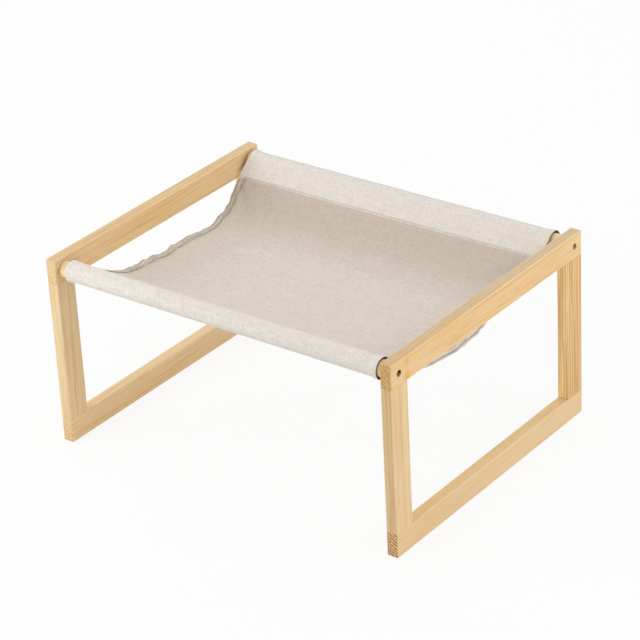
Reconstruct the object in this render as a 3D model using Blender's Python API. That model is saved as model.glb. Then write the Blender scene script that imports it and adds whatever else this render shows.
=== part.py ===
"""Low cat bed: a canvas sling on two round dowels, held between two wooden side frames.

Metres, +Z up. The origin is on the floor, midway between the two side frames and midway
between front and back. +X runs from the left frame to the right one, and -Y is the front.
Each side frame is a top rail and a bottom rail with two posts butted and pinned between them.
A dowel runs from rail to rail at the front and at the rear, with one screw into each end.
"""
import math

import bmesh
import bpy
from mathutils import Matrix, Vector

# Overall size of the wooden frame
FRAME_SPAN = 0.485
FRAME_DEPTH = 0.380
FRAME_HEIGHT = 0.240

# Planed timber of the side frames
TIMBER_THICKNESS = 0.0145
TIMBER_WIDTH = 0.030
OUTER_ROUND = 0.0015
WINDOW_ROUND = 0.0008
ROUND_SEGMENTS = 3

# Clearance that pieces keep where they touch
FIT_GAP = 0.0003

# Glued pins in the butt joints, two to a joint
PIN_DIAMETER = 0.006
PIN_LENGTH = 0.022
PIN_CHAMFER = 0.0007
PIN_INSET = 0.0065

# Dowels that carry the sling
DOWEL_DIAMETER = 0.020
DOWEL_CHAMFER = 0.0008

# Screws, one through each end of a top rail into a dowel
HEAD_DIAMETER = 0.0072
HEAD_FLAT = 0.0046
HEAD_DOME = 0.0010
HEAD_HEIGHT = 0.0026
HEAD_SINK = 0.0035
HEAD_CLEARANCE = 0.0004
DRIVE_SPAN = 0.0042
DRIVE_SLOT = 0.0010
DRIVE_DEPTH = 0.0014
THREAD_DIAMETER = 0.0040
CORE_DIAMETER = 0.0029
NECK_LENGTH = 0.012
THREAD_LENGTH = 0.018
TIP_LENGTH = 0.004
THREAD_RIDGES = 7

# Canvas sling, and the free ends of the front dowel beside it
LEFT_GAP = 0.0115
RIGHT_GAP = 0.0065
REAR_SHIFT = 0.006
CANVAS = 0.0010
HEM_THICKNESS = 0.0020
HEM_WIDTH = 0.010
HEM_STEP = 0.0016
SEAM_REACH = 0.033
SEAM_DIP = math.radians(13)
EDGE_SAG = 0.038
MIDDLE_SAG = 0.044
SAG_POWER = 3.0
WAIST = 0.011
EDGE_SKEW = 2.5
FOLD_HEIGHT = 0.0014
FOLD_REACH = 0.035
FOLD_COUNT = 4
FOLD_SHIFT = 0.41

# Fineness of the meshes
PIN_SIDES = 16
DOWEL_SIDES = 40
SCREW_SIDES = 16
DOME_STEPS = 2
SLEEVE_STEPS = 9
SEAT_STEPS = 22
SEAT_STATIONS = (0.0, 0.30, 0.58, 0.82)

# Places that several pieces share
RAIL_X = FRAME_SPAN / 2 - TIMBER_THICKNESS / 2
INNER_FACE_X = FRAME_SPAN / 2 - TIMBER_THICKNESS
POST_Y = FRAME_DEPTH / 2 - TIMBER_WIDTH / 2
RAIL_Z = {"top": FRAME_HEIGHT - TIMBER_WIDTH / 2, "bottom": TIMBER_WIDTH / 2}
DOWEL_RADIUS = DOWEL_DIAMETER / 2
UNDER_HEAD = HEAD_SINK + HEAD_HEIGHT
SCREW_TIP = UNDER_HEAD + NECK_LENGTH + THREAD_LENGTH + TIP_LENGTH
SLING_HALF = INNER_FACE_X - (LEFT_GAP + RIGHT_GAP) / 2
SLING_X = (LEFT_GAP - RIGHT_GAP) / 2

SIDES = {"left": -1, "right": 1}
ENDS = {"front": -1, "rear": 1}
LEVELS = {"top": 1, "bottom": -1}


def clear_scene():
    for thing in list(bpy.data.objects):
        bpy.data.objects.remove(thing, do_unlink=True)


def make_material(name, colour, roughness, metallic=0.0):
    material = bpy.data.materials.new(name)
    material.use_nodes = True
    shader = material.node_tree.nodes["Principled BSDF"]
    shader.inputs["Base Color"].default_value = (*colour, 1.0)
    shader.inputs["Roughness"].default_value = roughness
    shader.inputs["Metallic"].default_value = metallic
    material.diffuse_color = (*colour, 1.0)
    return material


def finish_mesh(name, shape, material=None, sharp_degrees=None):
    """Close a bmesh into a mesh whose faces point outward."""
    bmesh.ops.recalc_face_normals(shape, faces=shape.faces)
    mesh = bpy.data.meshes.new(name)
    shape.to_mesh(mesh)
    shape.free()
    if material:
        mesh.materials.append(material)
    if sharp_degrees:
        mesh.shade_smooth()
        mesh.set_sharp_from_angle(angle=math.radians(sharp_degrees))
    return mesh


def place(name, mesh, location=(0, 0, 0), facing=None):
    """Put a mesh in the scene. facing -1 or 1 turns its local +Z to -X or +X."""
    thing = bpy.data.objects.new(name, mesh)
    thing.location = location
    if facing:
        thing.rotation_euler.y = facing * math.pi / 2
    bpy.context.scene.collection.objects.link(thing)
    return thing


def cut_with(thing, cutter):
    """Cut a piece with a hidden guide shape."""
    cutter.hide_render = True
    cutter.display_type = "WIRE"
    modifier = thing.modifiers.new(cutter.name, "BOOLEAN")
    modifier.operation = "DIFFERENCE"
    modifier.object = cutter
    modifier.solver = "EXACT"


def join_rings(shape, first, second):
    """Fill the strip between two rings of points."""
    for index in range(len(first)):
        following = (index + 1) % len(first)
        shape.faces.new((first[index], first[following], second[following], second[index]))


def add_turned(shape, profile, sides, centre=(0, 0, 0)):
    """Add a closed turned shape. The profile lists (height, radius) from end to end along Z."""
    rings = []
    for height, radius in profile:
        ring = []
        for step in range(sides):
            angle = 2 * math.pi * step / sides
            offset = Vector((radius * math.cos(angle), radius * math.sin(angle), height))
            ring.append(shape.verts.new(Vector(centre) + offset))
        rings.append(ring)
    for lower, upper in zip(rings, rings[1:]):
        join_rings(shape, lower, upper)
    shape.faces.new(rings[0])
    shape.faces.new(rings[-1])


def turned_mesh(name, profile, sides, material=None, sharp_degrees=35):
    shape = bmesh.new()
    add_turned(shape, profile, sides)
    return finish_mesh(name, shape, material, sharp_degrees)


def round_bar(length, diameter, chamfer):
    """Profile of a round bar with chamfered ends, centred on its middle."""
    half = length / 2
    radius = diameter / 2
    return (
        (-half, radius - chamfer),
        (-half + chamfer, radius),
        (half - chamfer, radius),
        (half, radius - chamfer),
    )


def clear_radius(diameter, clearance, sides):
    """Corner radius of a faceted bore whose flats clear a round piece."""
    return (diameter / 2 + clearance) / math.cos(math.pi / sides)


def runs_along(edge, axis):
    first, second = edge.verts
    direction = second.co - first.co
    return max(range(3), key=lambda index: abs(direction[index])) == axis


def edge_middle(edge):
    return (edge.verts[0].co + edge.verts[1].co) / 2


def round_edges(shape, radius, is_chosen):
    bmesh.ops.bevel(
        shape,
        geom=[edge for edge in shape.edges if is_chosen(edge)],
        offset=radius,
        segments=ROUND_SEGMENTS,
        profile=0.5,
        affect="EDGES",
    )


def timber(length, along, free_side, rounds_ends):
    """A planed length along Y (1) or Z (2), centred on its middle.

    The edges of its free side are rounded, and those of the side that faces the frame's window
    are only eased. A rail is also rounded round its ends.
    """
    across = 3 - along
    size = Vector((TIMBER_THICKNESS, TIMBER_WIDTH, TIMBER_WIDTH))
    size[along] = length
    shape = bmesh.new()
    bmesh.ops.create_cube(shape, size=1.0)
    bmesh.ops.scale(shape, vec=size, verts=shape.verts)

    def on_free_side(edge):
        return edge_middle(edge)[across] * free_side > OUTER_ROUND

    def is_outer(edge):
        if rounds_ends:
            return on_free_side(edge) or runs_along(edge, across)
        return on_free_side(edge) and runs_along(edge, along)

    def is_window(edge):
        on_window_side = edge_middle(edge)[across] * free_side < WINDOW_ROUND - TIMBER_WIDTH / 2
        return on_window_side and runs_along(edge, along)

    round_edges(shape, OUTER_ROUND, is_outer)
    round_edges(shape, WINDOW_ROUND, is_window)
    return shape


def make_rail(name, side, level_name, material):
    """A rail runs the full depth of the frame, over or under both posts."""
    shape = timber(FRAME_DEPTH, 1, LEVELS[level_name], rounds_ends=True)
    mesh = finish_mesh(name, shape, material)
    return place(name, mesh, (side * RAIL_X, 0, RAIL_Z[level_name]))


def make_post(name, side, end, material):
    """A post stands between the rails, with a fine gap at each butt joint."""
    length = FRAME_HEIGHT - 2 * TIMBER_WIDTH - 2 * FIT_GAP
    shape = timber(length, 2, end, rounds_ends=False)
    mesh = finish_mesh(name, shape, material)
    return place(name, mesh, (side * RAIL_X, end * POST_Y, FRAME_HEIGHT / 2))


def pin_centres(side, end, level):
    """Centres of the two pins of one butt joint."""
    joint_z = FRAME_HEIGHT / 2 + level * (FRAME_HEIGHT / 2 - TIMBER_WIDTH - FIT_GAP / 2)
    step = TIMBER_WIDTH / 2 - PIN_INSET
    return [Vector((side * RAIL_X, end * POST_Y + way * step, joint_z)) for way in (-1, 1)]


def pin_bores(name, joints):
    """One guide shape with the pin bores of several joints."""
    half = PIN_LENGTH / 2 + FIT_GAP
    radius = clear_radius(PIN_DIAMETER, FIT_GAP, PIN_SIDES)
    shape = bmesh.new()
    for joint in joints:
        for centre in pin_centres(*joint):
            add_turned(shape, ((-half, radius), (half, radius)), PIN_SIDES, centre)
    return place(name, finish_mesh(name, shape))


def screw_start(side, end):
    """Where a screw's axis leaves the outer face of the top rail."""
    return (side * FRAME_SPAN / 2, end * POST_Y, RAIL_Z["top"])


def screw_bore(name, side, end):
    """A screw's recess and its hole through the rail and into the dowel, as one stepped shape."""
    recess = clear_radius(HEAD_DIAMETER, HEAD_CLEARANCE, SCREW_SIDES)
    hole = clear_radius(THREAD_DIAMETER, FIT_GAP, SCREW_SIDES)
    seat = UNDER_HEAD + FIT_GAP
    profile = (
        (-TIMBER_THICKNESS / 2, recess),
        (seat, recess),
        (seat, hole),
        (SCREW_TIP + FIT_GAP, hole),
    )
    return place(name, turned_mesh(name, profile, SCREW_SIDES), screw_start(side, end), -side)


def screw_profile():
    """A domed head, a plain neck, a thread of even ridges and a tapered tip."""
    head = HEAD_DIAMETER / 2
    flat = HEAD_FLAT / 2
    core = CORE_DIAMETER / 2
    profile = []
    for step in range(DOME_STEPS + 1):
        angle = math.pi / 2 * step / DOME_STEPS
        height = HEAD_SINK + HEAD_DOME * (1 - math.cos(angle))
        profile.append((height, flat + (head - flat) * math.sin(angle)))
    profile += [(UNDER_HEAD, head), (UNDER_HEAD, core)]
    pitch = THREAD_LENGTH / THREAD_RIDGES
    for ridge in range(THREAD_RIDGES):
        foot = UNDER_HEAD + NECK_LENGTH + ridge * pitch
        profile += [(foot, core), (foot + pitch / 2, THREAD_DIAMETER / 2)]
    profile += [(SCREW_TIP - TIP_LENGTH, core), (SCREW_TIP, core / 4)]
    return profile


def cross_prism(span, slot, start, stop):
    """A cross-shaped prism along Z, for the drive recess of a screw head."""
    outline = []
    for turn in range(4):
        quarter = Matrix.Rotation(turn * math.pi / 2, 2)
        for corner in ((span, -slot), (span, slot), (slot, slot)):
            outline.append(quarter @ (Vector(corner) / 2))
    shape = bmesh.new()
    rings = []
    for height in (start, stop):
        rings.append([shape.verts.new((*point, height)) for point in outline])
    join_rings(shape, *rings)
    for ring in rings:
        shape.faces.new(ring)
    return shape


def make_screw(name, side, end, material):
    """A cross-head wood screw with its head sunk below the rail's outer face."""
    mesh = turned_mesh(name, screw_profile(), SCREW_SIDES, material)
    screw = place(name, mesh, screw_start(side, end), -side)
    drive_name = name + "_drive"
    prism = cross_prism(DRIVE_SPAN, DRIVE_SLOT, HEAD_SINK - DRIVE_DEPTH, HEAD_SINK + DRIVE_DEPTH)
    drive = place(drive_name, finish_mesh(drive_name, prism), screw_start(side, end), -side)
    cut_with(screw, drive)


def make_dowel(name, end, material):
    """A dowel fills the span between the inner faces of the two top rails."""
    profile = round_bar(2 * (INNER_FACE_X - FIT_GAP), DOWEL_DIAMETER, DOWEL_CHAMFER)
    mesh = turned_mesh(name, profile, DOWEL_SIDES, material)
    return place(name, mesh, (0, end * POST_Y, RAIL_Z["top"]), 1)


def seat_lift(along, across):
    """Height of the seat above its seams, mostly negative.

    along runs from 0 at the front seam to 1 at the rear seam, and across from -1 at the left
    edge to 1 at the right edge. The tight hem leaves shallow folds that die out inwards.
    """
    sag = EDGE_SAG + (MIDDLE_SAG - EDGE_SAG) * (1 - across ** 2)
    hang = 1 - abs(2 * along - 1) ** SAG_POWER
    from_edge = (1 - abs(across)) * SLING_HALF
    strength = math.exp(-((from_edge / FOLD_REACH) ** 2)) * math.sin(math.pi * along)
    fold = FOLD_HEIGHT * strength * math.cos(2 * math.pi * FOLD_COUNT * (along - FOLD_SHIFT))
    return fold - sag * hang


def across_place(along, across):
    """Place along the dowels. The rear sleeve lies further left, and the edges are drawn in."""
    skew = along ** EDGE_SKEW
    drawn_in = WAIST * across ** 3 * math.sin(math.pi * skew) ** 2
    return SLING_X + across * SLING_HALF - REAR_SHIFT * skew - drawn_in


def sleeve_section(end, thickness):
    """Outlines of a sleeve in the (y, z) plane across a dowel.

    The cloth goes over the dowel, round its outer side and back to a seam on the seat side.
    Both outlines run from the seam's underside round the dowel to the seam's upper side.
    """
    bore = DOWEL_RADIUS + FIT_GAP
    half_angle = math.asin(bore / SEAM_REACH)
    sweep = math.pi + 2 * half_angle
    bore_corner = bore / math.cos(sweep / SLEEVE_STEPS / 2)
    centre = Vector((end * POST_Y, RAIL_Z["top"]))
    seatward = Vector((-end * math.cos(SEAM_DIP), -math.sin(SEAM_DIP)))
    upward = Vector((-end * math.sin(SEAM_DIP), math.cos(SEAM_DIP)))
    seam = centre + SEAM_REACH * seatward
    inner = []
    outer = []
    for index in range(SLEEVE_STEPS + 1):
        angle = half_angle - math.pi / 2 - sweep * index / SLEEVE_STEPS
        ray = math.cos(angle) * seatward + math.sin(angle) * upward
        inner.append(centre + bore_corner * ray)
        outer.append(centre + (bore_corner + thickness) * ray)
    under_way = math.sin(half_angle) * seatward - math.cos(half_angle) * upward
    upper_way = math.sin(half_angle) * seatward + math.cos(half_angle) * upward
    return {
        "seam": seam,
        "inner": inner,
        "outer": [seam + thickness * under_way, *outer, seam + thickness * upper_way],
        "seat_start": seam + CANVAS / 2 * upper_way,
    }


def seat_section(front, rear, thickness, across):
    """Upper and lower outlines of the seat between its two seams."""
    middle = []
    for index in range(SEAT_STEPS + 1):
        along = index / SEAT_STEPS
        level = front["seat_start"].lerp(rear["seat_start"], along)
        middle.append(level + Vector((0, seat_lift(along, across))))
    upper = []
    lower = []
    for index in range(1, SEAT_STEPS):
        way = (middle[index + 1] - middle[index - 1]).normalized()
        half_thickness = Vector((-way.y, way.x)) * thickness / 2
        upper.append(middle[index] + half_thickness)
        lower.append(middle[index] - half_thickness)
    return upper, lower


def sling_stations():
    """Places across the sling, from -1 to 1, with a steep step where each side hem ends."""
    hem = 1 - HEM_WIDTH / SLING_HALF
    plain = 1 - (HEM_WIDTH + HEM_STEP) / SLING_HALF
    half = [(share, CANVAS) for share in SEAT_STATIONS]
    half += [(plain, CANVAS), (hem, HEM_THICKNESS), (1.0, HEM_THICKNESS)]
    mirrored = [(-across, thickness) for across, thickness in reversed(half[1:])]
    return mirrored + half


def sling_points(shape, across, thickness):
    """All points of the sling at one place across it."""
    front = sleeve_section(-1, thickness)
    rear = sleeve_section(1, thickness)
    upper, lower = seat_section(front, rear, thickness, across)

    def add_point(point, along):
        return shape.verts.new((across_place(along, across), point.x, point.y))

    def add_seat(points):
        return [add_point(point, (index + 1) / SEAT_STEPS) for index, point in enumerate(points)]

    row = {"upper": add_seat(upper), "lower": add_seat(lower)}
    for name, section, along in (("front", front, 0), ("rear", rear, 1)):
        row[name + "_seam"] = add_point(section["seam"], along)
        row[name + "_inner"] = [add_point(point, along) for point in section["inner"]]
        row[name + "_outer"] = [add_point(point, along) for point in section["outer"]]
    return row


def sling_outline(row):
    """The sling's outer outline at one place, as one closed ring."""
    return row["front_outer"] + row["upper"] + row["rear_outer"][::-1] + row["lower"][::-1]


def sleeve_bore(row, end_name):
    return [row[end_name + "_seam"], *row[end_name + "_inner"]]


def close_side(shape, row):
    """Close a side edge of the sling: two sleeve ends and the edge of the seat between them."""
    for end_name, nearest in (("front", 0), ("rear", -1)):
        seam = row[end_name + "_seam"]
        outside = row[end_name + "_outer"]
        inside = [*sleeve_bore(row, end_name), seam]
        for index in range(len(outside) - 1):
            shape.faces.new((outside[index], outside[index + 1], inside[index + 1], inside[index]))
        upper = row["upper"][nearest]
        lower = row["lower"][nearest]
        shape.faces.new((seam, outside[0], lower))
        shape.faces.new((outside[-1], seam, lower, upper))
    for index in range(SEAT_STEPS - 2):
        upper = row["upper"][index:index + 2]
        lower = row["lower"][index:index + 2]
        shape.faces.new((upper[0], lower[0], lower[1], upper[1]))


def make_sling(name, material):
    shape = bmesh.new()
    rows = [sling_points(shape, *station) for station in sling_stations()]
    for first, second in zip(rows, rows[1:]):
        join_rings(shape, sling_outline(first), sling_outline(second))
        for end_name in ENDS:
            join_rings(shape, sleeve_bore(first, end_name), sleeve_bore(second, end_name))
    close_side(shape, rows[0])
    close_side(shape, rows[-1])
    place(name, finish_mesh(name, shape, material, sharp_degrees=50))


def build():
    clear_scene()
    pine = make_material("pine", (0.78, 0.58, 0.33), 0.55)
    dowel_wood = make_material("dowel_wood", (0.80, 0.62, 0.38), 0.60)
    pin_wood = make_material("pin_wood", (0.70, 0.50, 0.30), 0.60)
    steel = make_material("zinc_steel", (0.62, 0.60, 0.56), 0.35, 1.0)
    canvas = make_material("canvas", (0.78, 0.73, 0.66), 0.90)

    pin_profile = round_bar(PIN_LENGTH, PIN_DIAMETER, PIN_CHAMFER)
    pin_mesh = turned_mesh("joint_pin", pin_profile, PIN_SIDES, pin_wood)
    dowels = {}
    for end_name, end in ENDS.items():
        dowels[end_name] = make_dowel(end_name + "_dowel", end, dowel_wood)

    for side_name, side in SIDES.items():
        rails = {}
        for level_name, level in LEVELS.items():
            rail_name = f"{side_name}_{level_name}_rail"
            rails[level_name] = make_rail(rail_name, side, level_name, pine)
            joints = [(side, end, level) for end in ENDS.values()]
            cut_with(rails[level_name], pin_bores(rail_name + "_pin_bores", joints))
        for end_name, end in ENDS.items():
            corner_name = f"{side_name}_{end_name}"
            post = make_post(corner_name + "_post", side, end, pine)
            joints = [(side, end, level) for level in LEVELS.values()]
            cut_with(post, pin_bores(corner_name + "_post_pin_bores", joints))
            bore = screw_bore(corner_name + "_screw_bore", side, end)
            cut_with(rails["top"], bore)
            cut_with(dowels[end_name], bore)
            make_screw(corner_name + "_screw", side, end, steel)
            for level_name, level in LEVELS.items():
                for number, centre in enumerate(pin_centres(side, end, level), 1):
                    place(f"{corner_name}_{level_name}_pin_{number}", pin_mesh, centre)
    make_sling("sling", canvas)


build()
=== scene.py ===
"""Low cat bed in planed pine with a natural canvas sling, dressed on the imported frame.

Metres, +Z up, with the bed on the floor at the origin. +X runs from the left side frame to the
right one and -Y is the front. The timber, dowels and screws are the frame's own nodes with better
finishes; the sling is a new sheet of cloth in the place of its plain solid.
"""
import math
from collections import namedtuple
from functools import partialmethod

import bpy
import numpy as np
from mathutils import Matrix, Vector, noise


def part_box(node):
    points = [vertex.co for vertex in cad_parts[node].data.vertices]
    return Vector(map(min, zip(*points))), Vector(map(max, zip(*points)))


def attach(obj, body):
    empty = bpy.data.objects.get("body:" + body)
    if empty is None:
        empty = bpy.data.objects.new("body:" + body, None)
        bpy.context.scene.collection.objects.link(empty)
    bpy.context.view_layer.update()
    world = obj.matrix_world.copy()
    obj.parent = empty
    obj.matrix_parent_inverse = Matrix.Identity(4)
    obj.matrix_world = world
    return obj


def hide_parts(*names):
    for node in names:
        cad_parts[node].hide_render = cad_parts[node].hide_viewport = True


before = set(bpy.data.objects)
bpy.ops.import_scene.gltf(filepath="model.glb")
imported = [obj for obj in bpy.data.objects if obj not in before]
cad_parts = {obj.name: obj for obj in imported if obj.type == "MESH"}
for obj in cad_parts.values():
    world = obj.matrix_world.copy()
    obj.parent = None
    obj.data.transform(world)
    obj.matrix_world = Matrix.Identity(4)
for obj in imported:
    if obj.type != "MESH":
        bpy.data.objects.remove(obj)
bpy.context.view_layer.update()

# Canvas: its thickness and the step from one layer to the next. A hem puffs up between its rows
# of stitches, and by a share of that below, up to a short way from a seam.
CANVAS = 0.0009
LAYER = 0.0010
PUFF = 0.0009
PUFF_BELOW = 0.4
PUFF_END = 0.006
HEM_WIDTH = 0.0095

# Sleeves: the bore round a dowel, its dents, where the seam runs from the dowel's axis, and the end
# of the cloth, which is turned in under it
SLEEVE_BORE = 0.0109
SLEEVE_DENT = 0.0005
DENTS_PER_METRE = 24
SEAM_REACH = {"front": 0.0290, "rear": 0.0278}
SEAM_DIP = math.radians(15.3)
SEAM_WIDTH = 0.003
FOLD_ROUND = 0.0006
TURN_IN = 0.009

# What share of a hem's step is left where the seam and the pull of the seat press it flat
PRESSED = {"turned": 0.15, "stitched": 0.15, "upper": 0.4}

# Mouths of the sleeves, which open out and have a thick rolled edge. Painted shade darkens them
# inside and on the rim, where a face is near a dowel's axis and turned to it
FLARE = 0.0016
FLARE_REACH = 0.0130
MOUTH_ROLL = 0.9
SHADED_REACH = 0.016
SHADED_FACING = 0.3
RIM_FACING = -0.5

# How the seat hangs between its seams: its sag and the power of its curve, how far its edges are
# drawn in, how far left the rear sleeve lies, how late the edges turn to it, and the seams' span
EDGE_SAG = {"left": 0.0334, "right": 0.0309}
MIDDLE_SAG = 0.0419
EDGE_POWER = {"left": 3.0, "right": 2.7}
MIDDLE_POWER = 3.0
WAIST = 0.011
REAR_SHIFT = 0.006
EDGE_SKEW = 2.5
SEAM_SPAN = 0.2904

# Loose right hem, which hangs down: its turn, its width, and how far from a seam it hangs in full
HANG_TURN = math.radians(68)
HANG_REACH = 0.014
HANG_FADE = 0.050

# Long waves of the hems, by side: their height, their number, where one is highest along the seat,
# and how far they reach from the edge
HEM_WAVE = {"left": 0.0013, "right": 0.00147}
HEM_WAVES = {"left": 4.0, "right": 2.0}
HEM_WAVE_PLACE = {"left": 0.30, "right": 0.51}
HEM_WAVE_REACH = 0.032

# Puckers of the hems and seams, the folds that spread from the corners, and soft waves all over,
# with how quickly each grows away from the seams
PUCKER = 0.0016
PUCKER_START = {"left": -7.3, "right": 0.3}
PUCKER_REACH = 0.012
PUCKER_RISE = 3
PUCKERS_PER_METRE = 105
SEAM_PUCKER = 0.0004
SEAM_PUCKER_REACH = 0.012
SEAM_PUCKERS_PER_METRE = 120
CORNER_FOLD = 0.0012
CORNER_REACH = 0.080
CORNER_START = 0.030
CORNER_RAYS = 11
CORNER_RISE = 4
SOFT_WAVE = 0.0018
SOFT_WAVES_PER_METRE = 15
SOFT_RISE = 1.6

# How finely the sheet is divided, across with a band beside each edge, and along
EDGE_BAND = 0.016
COLUMNS = {"seat": 56, "edge": 21, "fold": 7, "hem": 14}
ROWS = {"turned": 6, "fold": 7, "straight": 7, "sleeve": 36, "seam": 4, "seat": 117}

# Stitches of sewing thread, whose tips narrow. The rows are placed from a hem's fold and from a
# seam's fold, the seam's rows end some columns before a hem's, and all pull a groove in the cloth.
STITCH_PITCH = 0.0034
STITCH_LENGTH = 0.0027
STITCH_RADIUS = 0.00026
STITCH_TIP = 0.15
STITCH_TIP_WIDTH = 0.45
HEM_ROWS = (0.0022, 0.0077)
SEAM_ROW = 0.0011
SEAM_ROW_COLUMNS = slice(14, -14)
GROOVE = 0.0013
# ROW_SHADE is the width of the painted shade along each row of stitches and each hem's fold
ROW_SHADE = 0.0006

# Painted shade along the rear sleeve's top and low on the front sleeve: how far past the rear
# sleeve's top and past the front seam, how far that reaches, and the share of light that is left
SLEEVE_SHADE = ((-0.006, 0.005, 0.80), (0.062, 0.008, 0.88))

# Colours of the canvas, and the pitch of its yarns
YARN_PITCH = 0.0013
YARN_DEEP = (0.6, 0.54, 0.47)
YARN_HIGH = (0.905, 0.86, 0.805)
SLUB = (0.96, 0.92, 0.87)
GREY_YARN = (0.64, 0.58, 0.515)
THICK_YARN = (0.98, 0.94, 0.89)
CANVAS_CLOUD = (0.76, 0.695, 0.62)
SEED_FLECK = (0.48, 0.39, 0.29)
WHITE_FLECK = (1.0, 0.985, 0.95)
# Painted shade over the seat
SEAT_SHADE = (0.9, 0.87, 0.835)
# Painted shade on the strip of seat before the rear seam
REAR_STRIP_SHADE = (0.82, 0.785, 0.75)
# Painted shadow on the seat beside each seam's fold
SEAM_FOLD_SHADOW = (0.42, 0.35, 0.28)
# Painted shade along the rows of stitches and the hems' folds
ROW_SHADE_COLOUR = (0.23, 0.19, 0.15)
# Painted shade in thin lines along the hems
HEM_LINE_SHADE = (0.35, 0.31, 0.285)

# Colours of the pine, the first of a pair for cream wood and the second for amber
EARLY_WOOD = ((0.87, 0.66, 0.39), (0.845, 0.55, 0.225))
LATE_WOOD = ((0.64, 0.395, 0.165), (0.56, 0.285, 0.08))
BRIGHT_FIBRE = (0.92, 0.72, 0.44)
RESIN = (0.5, 0.26, 0.08)
KNOT = (0.78, 0.41, 0.095)
END_RING = (0.22, 0.11, 0.04)
END_PORE = (0.4, 0.22, 0.08)
END_BRIGHT = (0.86, 0.64, 0.37)
# Pale long rims: partly rubbed wear, partly painted highlight along the arrises
RIM_WEAR_AND_HIGHLIGHT = (0.94, 0.75, 0.48)
# Painted shade inside the front screw holes, and painted light low in the rear ones
HOLE_SHADE = (0.03, 0.014, 0.005)
HOLE_LIGHT = (1.0, 0.93, 0.7)

# Glue in the butt joints
GLUE_THICKNESS = 0.00026
GLUE_SHRINK = 0.0001
POST_ROUND = 0.0014

# Screw holes in the top rails. The front ones have painted shade on their walls, and the rear ones
# painted light low down, on the side given along the grain and across it.
SCREW_HOLE_PLACE = 0.175
SCREW_HOLE_RADIUS = 0.00425
SCREW_HOLE_LOW = (-0.42, -0.906)

# Lamps, each with its place, target, size and power, and the light of the room. The camera sees
# the room, and most of the floor, as white.
LAMPS = (
    ("near_left_softbox", (-0.85, -0.75, 0.55), (-0.15, -0.1, 0.15), 0.5, 3.7),
    ("left_rear_softbox", (-1.3, 1.3, 1.1), (0.0, 0.0, 0.15), 1.0, 3.0),
    ("right_softbox", (2.0, 0.2, 1.0), (0.1, 0.0, 0.12), 1.2, 7.5),
    ("rear_right_softbox", (1.2, 1.4, 1.0), (0.1, 0.0, 0.15), 0.9, 2.0),
)
LAMP_COLOUR = (1.0, 0.995, 0.985)
ROOM_COLOUR = (1.0, 0.985, 0.965)
ROOM_LIGHT = 0.77
WHITE = (1.0, 1.0, 1.0)
FLOOR_COLOUR = (0.92, 0.92, 0.92)
FLOOR_WHITE = 0.88
FLOOR_SIZE = 14.0
FLOOR_PLACE = (0.0, 2.0, -0.0002)

# Camera, from the photograph's own perspective, for a square picture
CAMERA_PLACE = Vector((1.7465, -2.2302, 1.6427))
CAMERA_RIGHT = Vector((0.80231, 0.59501, -0.04752))
CAMERA_DOWN = Vector((0.24551, -0.40151, -0.88234))
FOCAL_PIXELS = 2753.7
PICTURE_PIXELS = 640
SENSOR_WIDTH = 36.0

# A knot or a streak: its place along the grain and across the wide side, how far it reaches both
# ways, how far it pushes the rings aside, and its depth of colour
Mark = namedtuple("Mark", "along wide reach spread bulge tint")

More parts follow.
